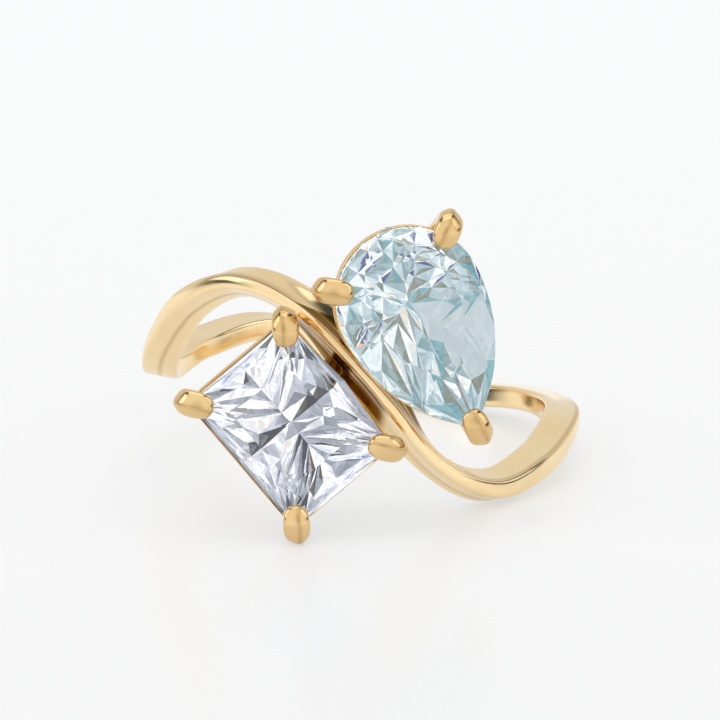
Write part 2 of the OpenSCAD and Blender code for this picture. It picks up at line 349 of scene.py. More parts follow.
def new_material(name: str) -> tuple[bpy.types.Material, Nodes, bpy.types.Node]:
    """A material with an empty Principled shader, its nodes and the shader.

    Args:
        name: Name of the material.

    Returns:
        The material, its nodes and its shader.
    """
    material = bpy.data.materials.new(name)
    material.use_nodes = True
    nodes = Nodes(material.node_tree)
    return material, nodes, material.node_tree.nodes["Principled BSDF"]


def wear_group() -> bpy.types.NodeTree:
    """Builds the shader group of a hand-polished surface: soft tone, uneven gloss, fine marks.

    Returns:
        The group, whose outputs lie about 0.
    """
    tree = bpy.data.node_groups.new("hand_polish", "ShaderNodeTree")
    for name, kind in (("Scale", "NodeSocketFloat"), ("Amount", "NodeSocketFloat")):
        tree.interface.new_socket(name, in_out="INPUT", socket_type=kind)
    for name in ("Tone", "Gloss", "Marks"):
        tree.interface.new_socket(name, in_out="OUTPUT", socket_type="NodeSocketFloat")
    nodes = Nodes(tree)
    given = nodes.add("NodeGroupInput")
    put = nodes.add("NodeGroupOutput")
    where = nodes.add("ShaderNodeTexCoord").outputs["Object"]
    for name, share, detail in (("Tone", 0.12, 2), ("Gloss", 0.5, 4), ("Marks", 3.0, 6)):
        scale = nodes.math("MULTIPLY", given.outputs["Scale"], share)
        noise = nodes.add("ShaderNodeTexNoise", Vector=where, Scale=scale)
        noise.inputs["Detail"].default_value = detail
        centred = nodes.math("SUBTRACT", noise.outputs["Fac"], 0.5)
        nodes.put(put.inputs[name], nodes.math("MULTIPLY", centred, given.outputs["Amount"]))
    return tree


def facet_group() -> bpy.types.NodeTree:
    """Builds the shader group of a cut stone: a number for each facet, a little uneven inside, that
    picks its painted flash.

    Returns:
        The group. It reads the numbers that a stone's mesh carries.
    """
    tree = bpy.data.node_groups.new("facet_flash", "ShaderNodeTree")
    for name in ("Scale", "Unevenness"):
        tree.interface.new_socket(name, in_out="INPUT", socket_type="NodeSocketFloat")
    tree.interface.new_socket("Flash", in_out="OUTPUT", socket_type="NodeSocketFloat")
    nodes = Nodes(tree)
    given = nodes.add("NodeGroupInput")
    put = nodes.add("NodeGroupOutput")
    where = nodes.add("ShaderNodeTexCoord").outputs["Object"]
    noise = nodes.add("ShaderNodeTexNoise", Vector=where, Scale=given.outputs["Scale"])
    centred = nodes.math("SUBTRACT", noise.outputs["Fac"], 0.5)
    uneven = nodes.math("MULTIPLY", centred, given.outputs["Unevenness"])
    facet = nodes.attribute("facet")
    nodes.put(put.inputs["Flash"], nodes.math("ADD", facet, uneven))
    return tree


@dataclass(frozen=True)
class PolishedGold:
    """Yellow gold, hand polished, with painted shade along creases and in recesses, and painted
    reflection streaks in the grooves.
    """

    name: str = "band_gold"
    bright: tuple[float, float, float] = (1.0, 0.80, 0.49)
    deep: tuple[float, float, float] = (0.93, 0.69, 0.37)
    # Painted shade colours for creases and recesses, and the colour of the painted reflection
    # streaks in the grooves
    crease_shade: tuple[float, float, float] = (0.42, 0.25, 0.07)
    recess_shade: tuple[float, float, float] = (0.20, 0.095, 0.012)
    reflection_streak: tuple[float, float, float] = (0.70, 0.42, 0.12)
    roughness: float = 0.14
    # How far the roughness strays either way, and how strong and deep the fine marks are
    gloss_swing: float = 0.05
    mark_strength: float = 0.01
    mark_depth_m: float = 0.00002
    polish_scale: float = 2500.0
    polish_amount: float = 1.0

    def material(self, polish: bpy.types.NodeTree) -> bpy.types.Material:
        """The material, with its polish from the shared group.

        Args:
            polish: The shared group.

        Returns:
            The material. It reads numbers that a mesh may carry: how much painted shade a spot gets
            along a crease and in a recess, and its place across the band and along it, where the
            painted reflection streaks run.
        """
        material, nodes, shader = new_material(self.name)
        group = nodes.add("ShaderNodeGroup")
        group.node_tree = polish
        group.inputs["Scale"].default_value = self.polish_scale
        group.inputs["Amount"].default_value = self.polish_amount
        tone = nodes.math("ADD", group.outputs["Tone"], 0.5)
        colour = nodes.ramp(tone, (0.2, self.deep), (0.8, self.bright))
        lane = nodes.add("ShaderNodeCombineXYZ", X=nodes.attribute("lane"))
        nodes.put(lane.inputs["Y"], nodes.attribute("along"))
        reflection_streaks = nodes.add("ShaderNodeTexNoise", Vector=lane.outputs[0], Scale=1.0)
        reflection_streaks.inputs["Detail"].default_value = 3.0
        # Painted shade in the grooves, broken by painted reflection streaks
        groove_shade_colour = nodes.ramp(
            reflection_streaks.outputs["Fac"],
            (0.42, self.recess_shade),
            (0.52, self.recess_shade),
            (0.58, self.reflection_streak),
            (0.64, self.recess_shade),
        )
        # Painted shade along creases, then painted shade and reflection streaks in recesses
        colour = nodes.mix(nodes.attribute("crease_shade"), colour, self.crease_shade)
        colour = nodes.mix(nodes.attribute("recess_shade"), colour, groove_shade_colour)
        nodes.put(shader.inputs["Base Color"], colour)
        gloss = nodes.add("ShaderNodeMapRange", Value=group.outputs["Gloss"])
        gloss.inputs["From Min"].default_value = -0.5
        gloss.inputs["From Max"].default_value = 0.5
        gloss.inputs["To Min"].default_value = self.roughness - self.gloss_swing
        gloss.inputs["To Max"].default_value = self.roughness + self.gloss_swing
        nodes.put(shader.inputs["Roughness"], gloss.outputs["Result"])
        bump = nodes.add("ShaderNodeBump", Height=group.outputs["Marks"])
        bump.inputs["Strength"].default_value = self.mark_strength
        bump.inputs["Distance"].default_value = self.mark_depth_m
        nodes.put(shader.inputs["Normal"], bump.outputs["Normal"])
        shader.inputs["Metallic"].default_value = 1.0
        return material


@dataclass(frozen=True)
class CutCrystal:
    """A bright faceted stone: a clear crown, and a mirror back that throws the light up again, with
    painted flashes and a painted glow on its facets.
    """

    name: str
    tint: tuple[float, float, float]
    # Positions and colours of the painted flashes on the back's facets, by their flash number
    flashes: tuple[tuple[float, tuple[float, float, float]], ...]
    # Colour of the back's painted glow
    glow: tuple[float, float, float] = (0.70, 0.82, 1.0)
    # How strongly the back's painted glow shines, and how much of the glow colour its facets mix in
    painted_glow_strength: float = 0.62
    glow_share: float = 0.04
    # How much the back's mirror is darkened, and its roughness
    hold: float = 0.45
    back_roughness: float = 0.03
    ior: float = 2.0
    # Fine unevenness inside a facet: its scale and amount
    fine_scale: float = 700.0
    fine_amount: float = 0.08

    def crown(self, facets: bpy.types.NodeTree) -> bpy.types.Material:
        """The clear crown: refraction with a faint tint, a little uneven.

        Args:
            facets: The shared group of cut stones.

        Returns:
            The material.
        """
        material, nodes, shader = new_material(f"{self.name}_crown")
        flash = self.flash(nodes, facets)
        colour = nodes.ramp(flash, (0.0, self.tint), (1.0, (1.0, 1.0, 1.0)))
        nodes.put(shader.inputs["Base Color"], colour)
        shader.inputs["Roughness"].default_value = 0.0
        shader.inputs["Transmission Weight"].default_value = 1.0
        shader.inputs["IOR"].default_value = self.ior
        return material

    def back(self, facets: bpy.types.NodeTree) -> bpy.types.Material:
        """The bright back: a mirror tinted with painted flashes that change from facet to facet,
        and a painted glow.

        Args:
            facets: The shared group of cut stones.

        Returns:
            The material. Facets that the mesh marks as still mirror less and take an even painted
            glow.
        """
        material, nodes, shader = new_material(f"{self.name}_back")
        # Painted flashes and reflections: each facet's number picks its colour
        colour = nodes.ramp(self.flash(nodes, facets), *self.flashes)
        still = nodes.attribute("still")
        bright = nodes.mix(self.hold, colour, (0.0, 0.0, 0.0))
        nodes.put(shader.inputs["Base Color"], nodes.mix(still, bright, (0.0, 0.0, 0.0)))
        # Painted glow: the back gives off light, though it is no lamp
        glow = nodes.mix(self.glow_share, colour, self.glow)
        nodes.put(shader.inputs["Emission Color"], nodes.mix(still, glow, self.glow))
        shader.inputs["Emission Strength"].default_value = self.painted_glow_strength
        shader.inputs["Roughness"].default_value = self.back_roughness
        shader.inputs["Metallic"].default_value = 1.0
        return material

    def flash(self, nodes: Nodes, facets: bpy.types.NodeTree) -> bpy.types.NodeSocket:
        """The shared group in a material's nodes, and its output.

        Args:
            nodes: The material's nodes.
            facets: The shared group of cut stones.

        Returns:
            The number of each spot that picks its painted flash, from 0 to 1.
        """
        group = nodes.add("ShaderNodeGroup")
        group.node_tree = facets
        group.inputs["Scale"].default_value = self.fine_scale
        group.inputs["Unevenness"].default_value = self.fine_amount
        return group.outputs["Flash"]

    def pair(self, facets: bpy.types.NodeTree) -> list[bpy.types.Material]:
        """Both materials, the crown's first."""
        return [self.crown(facets), self.back(facets)]


# The band


@dataclass
class Band:
    """The gold band, one closed sweep round the finger."""

    bore_r: float = BORE_R
    depth: float = 1.6
    crossing_depth: float = 1.85
    foot_w: float = 1.4
    face_w: float = 0.85
    wave_rise: float = 4.0
    steps: int = 180
    # Levels of the two painted shade lines along the band, their width and their strength
    low_shade_line: float = 0.50
    high_shade_line: float = 0.91
    crease_shade_w: float = 0.06
    crease_shade_strength: float = 0.50
    # The painted shade line on the rising shoulder, where the band passes behind the claw: depth,
    # level and width, then where it starts and ends
    shoulder_shade: tuple[float, float, float] = (0.35, 0.84, 0.12)
    shoulder_from: tuple[float, float] = (-62.0, -38.0)
    shoulder_to: tuple[float, float] = (-8.0, -22.0)
    # Where the painted shade in the grooves beside the crossing starts and ends, in degrees round
    # the finger
    groove_from: float = -15.5
    groove_taper: float = 16.0
    scoop_to: float = 10.0
    # How the painted reflection streaks in the grooves run: lanes across the wall, and degrees to a
    # unit along it
    lanes: float = 5.5
    streak_degrees: float = 45.0
    # angle, rise, lift, foot, face, flute
    stations: np.ndarray = field(
        default_factory=lambda: np.array(
            [
                [-180, -0.32, 0.00, 0.84, 1.30, 0.00],
                [-150, 0.20, 0.00, 0.72, 1.40, 0.00],
                [-120, 0.00, 0.00, 0.72, 1.30, 0.00],
                [-95, -0.19, 0.10, 0.76, 0.95, 0.00],
                [-75, 0.16, 0.00, 0.85, 0.85, 0.00],
                [-55, 0.72, 0.00, 0.92, 0.90, 0.00],
                [-35, 1.02, 0.10, 0.96, 0.72, 0.00],
                [-15, 0.83, 0.50, 1.20, 0.55, 0.30],
                [5, 0.17, 1.00, 1.55, 0.60, 1.00],
                [25, -0.70, 0.60, 0.88, 0.68, 0.30],
                [45, -0.98, 0.00, 1.04, 0.90, 0.00],
                [65, -0.74, 0.00, 1.04, 1.05, 0.00],
                [85, -0.40, 0.00, 0.94, 0.95, 0.00],
                [105, -0.27, 0.10, 0.78, 0.95, 0.00],
                [132, -0.27, 0.00, 0.72, 1.20, 0.00],
                [168, -0.40, 0.00, 0.84, 1.30, 0.00],
            ]
        )
    )
    # depth, foot, face, fluted
    half_section: tuple[tuple[float, float, float, float], ...] = (
        (0.00, 0.35, 0.00, 0.00),
        (0.00, 0.80, 0.00, 0.00),
        (0.05, 0.94, 0.00, 0.00),
        (0.14, 1.00, 0.00, 0.00),
        (0.26, 0.94, 0.08, 0.02),
        (0.42, 0.70, 0.30, 0.16),
        (0.62, 0.40, 0.64, 0.30),
        (0.80, 0.14, 0.92, 0.16),
        (0.92, 0.00, 1.06, 0.00),
        (0.98, 0.00, 0.98, 0.00),
        (1.01, 0.00, 0.70, 0.00),
        (1.02, 0.00, 0.25, 0.00),
    )

    def along(self, angle: float, column: int) -> float:
        """Reads a column of the stations at any angle, on the band's smooth curve.

        Args:
            angle: Degrees round the finger, 0 between the stones.
            column: Column of the table.

        Returns:
            The value there.
        """
        table, n = self.stations, len(self.stations)
        turn = (angle + 180) % 360 - 180
        i = int(np.searchsorted(table[:, 0], turn, side="right")) - 1

        def row(k: int) -> tuple[float, float]:
            """A station's angle and value, counted on round the finger."""
            return table[k % n, 0] + 360 * (k // n), table[k % n, column]

        (a0, v0), (a1, v1), (a2, v2), (a3, v3) = (row(i + k) for k in (-1, 0, 1, 2))
        h = a2 - a1
        s = (turn - a1) / h
        slope1, slope2 = (v2 - v0) / (a2 - a0), (v3 - v1) / (a3 - a1)
        return (
            (2 * s**3 - 3 * s * s + 1) * v1
            + (s**3 - 2 * s * s + s) * h * slope1
            + (3 * s * s - 2 * s**3) * v2
            + (s**3 - s * s) * h * slope2
        )

    def ring(self, angle: float) -> list[list[float]]:
        """The band's section at an angle, as points in the ring's own frame.

        Args:
            angle: Degrees round the finger, 0 between the stones.

        Returns:
            The points, once round the section.
        """
        rise = self.wave_rise * self.along(angle, 1)
        climb = self.wave_rise * (self.along(angle + 0.5, 1) - self.along(angle - 0.5, 1))
        run = math.radians(1) * (self.bore_r + self.depth / 2)
        length = math.hypot(run, climb)
        along, up = climb / length, run / length
        deep = self.depth + (self.crossing_depth - self.depth) * self.along(angle, 2)
        foot = self.along(angle, 3) * self.foot_w / 2
        face = self.along(angle, 4) * self.face_w / 2
        flute = self.along(angle, 5)
        s, c = math.sin(math.radians(angle)), math.cos(math.radians(angle))
        points = []
        for side in (-1, 1):
            rows = self.half_section if side < 0 else self.half_section[::-1]
            for level, in_foot, in_face, fluted in rows:
                half = side * (in_foot * foot + in_face * face) * (1 - flute * fluted)
                r = self.bore_r + level * deep
                points.append(
                    [r * s - c * along * half, -r * c - s * along * half, rise + up * half]
                )
        return points

    def build(self, gold: bpy.types.Material) -> None:
        """Models the band and dresses it.

        Args:
            gold: Its finish.
        """
        angles = [-180 + 360 * i / self.steps for i in range(self.steps)]
        rings = np.array([self.ring(a) for a in angles])
        obj = closed_sweep("band", rings, 2)
        self.mark(obj)
        finish_piece(obj, [gold], "gold_ring")

    def mark(self, obj: bpy.types.Object) -> None:
        """Lays on the mesh how much painted shade each spot gets, along the creases, on the
        shoulder and in the grooves' recesses, and its place for the painted reflection streaks.

        Args:
            obj: The band, still in the ring's own frame.
        """
        count = len(obj.data.vertices)
        points = np.zeros(count * 3)
        obj.data.vertices.foreach_get("co", points)
        values = {name: np.zeros(count) for name in ("crease_shade", "recess_shade", "lane", "along")}
        dark, at, wide = self.shoulder_shade
        for i, (x, y, z) in enumerate(points.reshape(-1, 3)):
            angle = math.degrees(math.atan2(x, -y))
            deep = self.depth + (self.crossing_depth - self.depth) * self.along(angle, 2)
            level = (math.hypot(x, y) - self.bore_r) / deep
            side = z - self.wave_rise * self.along(angle, 1)
            flute = max(0.0, min(1.0, self.along(angle, 5)))
            # Painted shade line along the lower or upper crease, less where the section is fluted
            line = self.low_shade_line if side < 0 else self.high_shade_line
            near = math.exp(-(((level - line) / self.crease_shade_w) ** 2))
            values["crease_shade"][i] = self.crease_shade_strength * near * (1 - flute)
            # Painted shade on the rising shoulder
            if side > 0:
                turn = ease(*self.shoulder_from, angle) * ease(*self.shoulder_to, angle)
                values["crease_shade"][i] += dark * turn * math.exp(-(((level - at) / wide) ** 2))
            # Painted shade in the recesses of the grooves beside the crossing
            wall = ease(0.98, 0.92, level) * ease(0.0, 0.1, level)
            if side > 0:
                start = 0.93 - 0.8 * max(0.0, angle - self.groove_from) / self.groove_taper
                wall *= ease(start - 0.02, start + 0.02, level) * ease(26, 20, angle)
            else:
                wall *= ease(self.groove_from - 4, self.groove_from, angle)
                wall *= ease(self.scoop_to + 2, self.scoop_to - 1, angle)
            values["recess_shade"][i] = wall
            # Place across and along the band, for the painted reflection streaks
            values["lane"][i] = self.lanes * level + (20 if side > 0 else 0)
            values["along"][i] = angle / self.streak_degrees
        for name, spots in values.items():
            attribute = obj.data.attributes.new(name, "FLOAT", "POINT")
            attribute.data.foreach_set("value", spots.astype(np.float32))


@dataclass
class Bridge:
    """The bar under both settings, close round the finger, that carries their bosses."""

    start: Vector
    end: Vector
    width: float = 1.3
    thick: float = 0.9
    gap: float = 0.04
    bore_r: float = BORE_R
    steps: int = 12
    overrun: float = 0.3
    # level, across: shares of the thickness and of half the width
    section: tuple[tuple[float, float], ...] = (
        (0.06, 0.94),
        (0.0, 0.6),
        (0.0, -0.6),
        (0.06, -0.94),
        (0.5, -0.9),
        (0.94, -0.62),
        (1.0, -0.4),
        (1.0, 0.4),
        (0.94, 0.62),
        (0.5, 0.9),
    )

    def ring(self, share: float) -> list[list[float]]:
        """The bar's section at a share of its length, with rounded edges.

        Args:
            share: Place along the bar, 0 at its start and 1 at its end.

        Returns:
            The points, once round the section.
        """
        (a0, z0), (a1, z1) = ((math.atan2(p.x, -p.y), p.z) for p in (self.start, self.end))
        run = Vector(((a1 - a0) * self.bore_r, z1 - z0)).normalized()
        angle, climb = a0 + (a1 - a0) * share, z0 + (z1 - z0) * share
        points = []
        for level, across in self.section:
            r = self.bore_r + self.gap + level * self.thick
            half = across * self.width / 2
            turn = angle - run.y * half / self.bore_r
            points.append([r * math.sin(turn), -r * math.cos(turn), climb + run.x * half])
        return points

    def build(self, gold: bpy.types.Material) -> None:
        """Models the bar and dresses it.

        Args:
            gold: Its finish.
        """
        extra = self.overrun / (self.end - self.start).length
        rings = [
            self.ring(-extra + (1 + 2 * extra) * i / self.steps) for i in range(self.steps + 1)
        ]
        obj = open_sweep("bridge", np.array(rings), 1)
        points = np.zeros(len(obj.data.vertices) * 3)
        obj.data.vertices.foreach_get("co", points)
        # Painted shade on the bar's outer part: none over its inner third, full over its outer
        # third
        level = (np.hypot(*points.reshape(-1, 3).T[:2]) - self.bore_r - self.gap) / self.thick
        attribute = obj.data.attributes.new("recess_shade", "FLOAT", "POINT")
        attribute.data.foreach_set("value", np.clip(level * 3 - 1, 0, 1).astype(np.float32))
        finish_piece(obj, [gold], "gold_ring")


# Outlines and places of the stones


@dataclass
class Outline:
    """A stone's outline seen from above, in its own frame."""

    def point(self, share: float, grow: float = 0.0) -> np.ndarray:
        """The outline at a share of the way round, grown outwards."""
        raise NotImplementedError

    def reach(self, azimuth: float) -> float:
        """How far the outline reaches in a direction, given in radians."""
        line = np.array([self.point(i / 720) for i in range(720)])
        return float((line @ [math.cos(azimuth), math.sin(azimuth)]).max())


@dataclass
class RadiantOutline(Outline):
    """A rectangle with cut corners."""

    length: float = 7.1
    width: float = 5.5
    corner: float = 0.95

    def point(self, share: float, grow: float = 0.0) -> np.ndarray:
        """The outline at a share of the way round, with the same share for each straight.

        Args:
            share: Share of the way round.
            grow: How far outwards, in millimetres.

        Returns:
            The point.
        """
        l, w, cut = self.length / 2 + grow, self.width / 2 + grow, self.corner / math.sqrt(2)
        corners = np.array(
            [
                [l, w - cut], [l - cut, w], [cut - l, w], [-l, w - cut],
                [-l, cut - w], [cut - l, -w], [l - cut, -w], [l, cut - w],
            ]
        )
        place = share * 8
        k = math.floor(place)
        a, b = corners[k % 8], corners[(k + 1) % 8]
        return a + (b - a) * (place - k)


@dataclass
class PearOutline(Outline):
    """A round head about the origin and two long arcs that meet at the point."""

    length: float = 9.4
    width: float = 6.5

    def point(self, share: float, grow: float = 0.0) -> np.ndarray:
        """The outline at a share of the turn, from the point round the head.

        Args:
            share: Share of the turn.
            grow: How far outwards, in millimetres.

        Returns:
            The point.
        """
        head = self.width / 2
        reach = self.length - head
        arc_r = (reach * reach + head * head) / (2 * head)
        side = math.asin(reach / arc_r)
        a = -math.pi / 2 - side + (math.pi + 2 * side) * (share % 1)
        if abs(a) <= math.pi / 2:
            return (head + grow) * np.array([math.cos(a), math.sin(a)])
        lower = -1 if a < 0 else 1
        return np.array(
            [(arc_r + grow) * math.cos(a), lower * (head - arc_r) + (arc_r + grow) * math.sin(a)]
        )


def setting_matrix(side: float, climb: float, lean: float, spin: float, seat: float) -> Matrix:
    """Frame of a stone in the ring's own frame: across, along, outwards.

    Args:
        side: Shift to the right of the head's middle.
        climb: Height along the finger axis.
        lean: Degrees round the finger axis.
        spin: Degrees round the outward direction.
        seat: Distance from the finger axis to the girdle.

    Returns:
        The matrix from the stone's frame to the ring's.
    """
    a, b = math.radians(lean), math.radians(spin)
    out = Vector((math.sin(a), -math.cos(a), 0))
    right = Vector((math.cos(a), math.sin(a), 0))
    up = Vector((0, 0, 1))
    x = right * math.cos(b) + up * math.sin(b)
    y = up * math.cos(b) - right * math.sin(b)
    turn = Matrix((x, y, out)).transposed().to_4x4()
    return Matrix.Translation(out * seat + right * side + up * climb) @ turn


# Claws, wires and rails


@dataclass
class Claw:
    """A wire from the boss up to the girdle, and the claw over the stone, as one tube."""

    width: float = 1.15
    length: float = 1.65
    height: float = 0.95
    wire_d: float = 0.8
    # out, up, size: shares of the reach, the cup's depth and the wire's diameter
    wire_rows: tuple[tuple[float, float, float], ...] = (
        (0.12, -1.00, 1.00),
        (0.36, -0.97, 1.00),
        (0.66, -0.86, 1.00),
        (0.90, -0.66, 1.00),
        (1.05, -0.36, 1.10),
    )
    # out, up, size, thick: shares of the claw's length, height and width
    claw_rows: tuple[tuple[float, float, float, float], ...] = (
        (0.37, 0.00, 0.92, 0.86),
        (0.385, 0.38, 1.00, 0.88),
        (0.32, 0.70, 1.03, 0.80),
        (0.16, 0.88, 1.05, 0.66),
        (-0.04, 0.92, 1.00, 0.56),
        (-0.20, 0.88, 0.86, 0.48),
        (-0.29, 0.82, 0.64, 0.36),
        (-0.32, 0.78, 0.38, 0.20),
    )
    sides: int = 20
    squareness: float = 2.45
    # The soft ridge along the claw: its height, its place across and half its width
    ridge: float = 0.13
    ridge_at: float = 0.15
    ridge_half: float = 0.5
    # The painted shade line along the ridge: its place across, its width and its strength
    crease_shade_side: float = 0.10
    crease_shade_w: float = 0.10
    crease_shade_strength: float = 0.48

    def mark(self, obj: bpy.types.Object) -> None:
        """Lays a fine line of painted shade along the claw's ridge on the mesh.

        Args:
            obj: The claw, with x outwards and y across it.
        """
        count = len(obj.data.vertices)
        points = np.zeros(count * 3)
        obj.data.vertices.foreach_get("co", points)
        _, y, z = points.reshape(-1, 3).T
        # Painted shade along the ridge, only on the claw's upper part
        line = np.exp(-(((y - self.crease_shade_side * self.width) / self.crease_shade_w) ** 2))
        attribute = obj.data.attributes.new("crease_shade", "FLOAT", "POINT")
        spots = self.crease_shade_strength * line * np.clip(z / self.height * 4 - 1.6, 0, 1)
        attribute.data.foreach_set("value", spots.astype(np.float32))

    def rings(self, reach: float, cup: float) -> np.ndarray:
        """Rounds of the tube, with x out to the claw, y across it and z up.

        Args:
            reach: Distance of the claw's corner from the stone's middle.
            cup: Depth of the cup, from the girdle to its foot.

        Returns:
            The rounds as an array.
        """
        path = [[o * reach, u * cup, s * self.wire_d, self.wire_d] for o, u, s in self.wire_rows]
        path += [
            [reach + o * self.length, u * self.height, s * self.width, t * self.width]
            for o, u, s, t in self.claw_rows
        ]
        path = np.array(path)
        rounds = []
        for i, spot in enumerate(path):
            run = path[min(i + 1, len(path) - 1), :2] - path[max(i - 1, 0), :2]
            lie = np.array([run[1], -run[0]]) / np.hypot(*run)
            on_claw = i >= len(self.wire_rows)
            power = 2 / (self.squareness if on_claw else 2)
            ring = []
            for k in range(self.sides):
                a = 2 * math.pi * (k + 0.5) / self.sides
                c, s = math.cos(a), math.sin(a)
                w = math.copysign(abs(c) ** power, c) * spot[2] / 2
                d = math.copysign(abs(s) ** power, s) * spot[3] / 2
                if on_claw and s > 0:
                    off = min(1, abs(c - self.ridge_at) / self.ridge_half)
                    d += self.ridge * spot[3] * (1 - off)
                ring.append([spot[0] + d * lie[0], w, spot[1] + d * lie[1]])
            rounds.append(ring)
        return np.array(rounds)


@dataclass
class ClawSetting:
    """The gold basket of one stone: claws, gallery rail, lower rail and the boss at its foot."""

    name: str
    outline: Outline
    place: Matrix
    corners: list[tuple[float, float]]
    cup: float
    claw: Claw = field(default_factory=Claw)
    rail_steps: int = 96
    rail_out: float = 0.12
    rail_h: float = 0.7
    rail_gap: float = 0.1
    rail_t: float = 0.45
    girdle_t: float = GIRDLE_T
    lower_rail_h: float = 0.55
    lower_rail_down: float = 0.6
    lower_rail_share: float = 0.94
    boss_r: float = 0.95
    boss_h: float = 0.98
    boss_edge: float = 0.22
    # How far the boss reaches down past the cup's foot
    boss_sink: float = 0.48
    # Rail section: inwards as a share of the thickness, down as a share of the height
    rail_section: tuple[tuple[float, float], ...] = (
        (1.0, 0.80),
        (1.0, 0.92),
        (0.86, 1.0),
        (0.16, 1.0),
        (0.0, 0.9),
        (0.0, 0.66),
        (0.12, 0.52),
        (0.0, 0.38),
        (0.0, 0.14),
        (0.08, 0.06),
        (0.5, 0.40),
    )

    def rail(
        self, name: str, top: float, high: float, grow: float, share: float
    ) -> bpy.types.Object:
        """Models a rail round the stone, with a shallow groove along its outer side.

        Args:
            name: Name of the piece.
            top: Height of its upper edge from the girdle's middle.
            high: Its height.
            grow: How far it stands out past the outline.
            share: Its size as a share of the outline.

        Returns:
            The rail in the stone's frame.
        """
        rings = []
        for i in range(self.rail_steps):
            outer = self.outline.point((i + 0.5) / self.rail_steps, grow) * share
            inward = -outer / np.hypot(*outer)
            rings.append(
                [
                    [*(outer + inward * a * self.rail_t), top - b * high]
                    for a, b in self.rail_section
                ]
            )
        return closed_sweep(name, np.array(rings), 1)

    def boss(self) -> bpy.types.Object:
        """The turned boss at the foot, with rounded edges.

        Returns:
            The boss in the stone's frame.
        """
        start_clean()
        bpy.ops.mesh.primitive_cylinder_add(
            vertices=48,
            radius=self.boss_r,
            depth=self.boss_h,
            location=(0, 0, self.boss_h / 2 - self.boss_sink - self.cup),
        )
        obj = bpy.context.object
        obj.name = f"{self.name}_boss"
        bpy.ops.object.transform_apply(location=True, rotation=True, scale=True)
        apply_modifier(obj, "BEVEL", width=self.boss_edge, segments=4, limit_method="ANGLE")
        bpy.ops.object.shade_smooth_by_angle(angle=math.radians(40))
        return obj

    def build(self, gold: bpy.types.Material) -> None:
        """Models the basket and dresses it.

        Args:
            gold: Its finish.
        """
        parts: list[bpy.types.Object] = []
        first: dict[float, bpy.types.Object] = {}
        for i, (x, y) in enumerate(self.corners):
            reach = round(math.hypot(x, y), 6)
            if reach not in first:
                first[reach] = open_sweep(
                    f"{self.name}_claw_shape", self.claw.rings(reach, self.cup), 2
                )
            claw = first[reach].copy()
            claw.data = first[reach].data.copy()
            claw.name = f"{self.name}_claw_{i + 1}"
            bpy.context.collection.objects.link(claw)
            self.claw.mark(claw)
            claw.data.transform(Matrix.Rotation(math.atan2(y, x), 4, "Z"))
            parts.append(claw)
        for shape in first.values():
            bpy.data.objects.remove(shape)
        top = -self.girdle_t / 2 - self.rail_gap
        parts.append(self.rail(f"{self.name}_rail", top, self.rail_h, self.rail_out, 1.0))
        top = -self.lower_rail_down * self.cup
        share = self.lower_rail_share
        parts.append(self.rail(f"{self.name}_lower_rail", top, self.lower_rail_h, 0.0, share))
        parts.append(self.boss())
        for part in parts:
            finish_piece(part, [gold], "gold_ring", self.place)


# Stones


@dataclass(frozen=True)
class Tier:
    """A row of flat facets. Each plane holds a point over the outline and one on the axis."""

    # Directions that the facets face, in degrees
    azimuths: tuple[float, ...]
    # Where the plane meets the axis, as a share of the crown's height or pavilion's depth
    aim: float
    # Where it starts, as a share of the outline's reach and of that height past the girdle
    start: float = 1.0
    height: float = 0.0


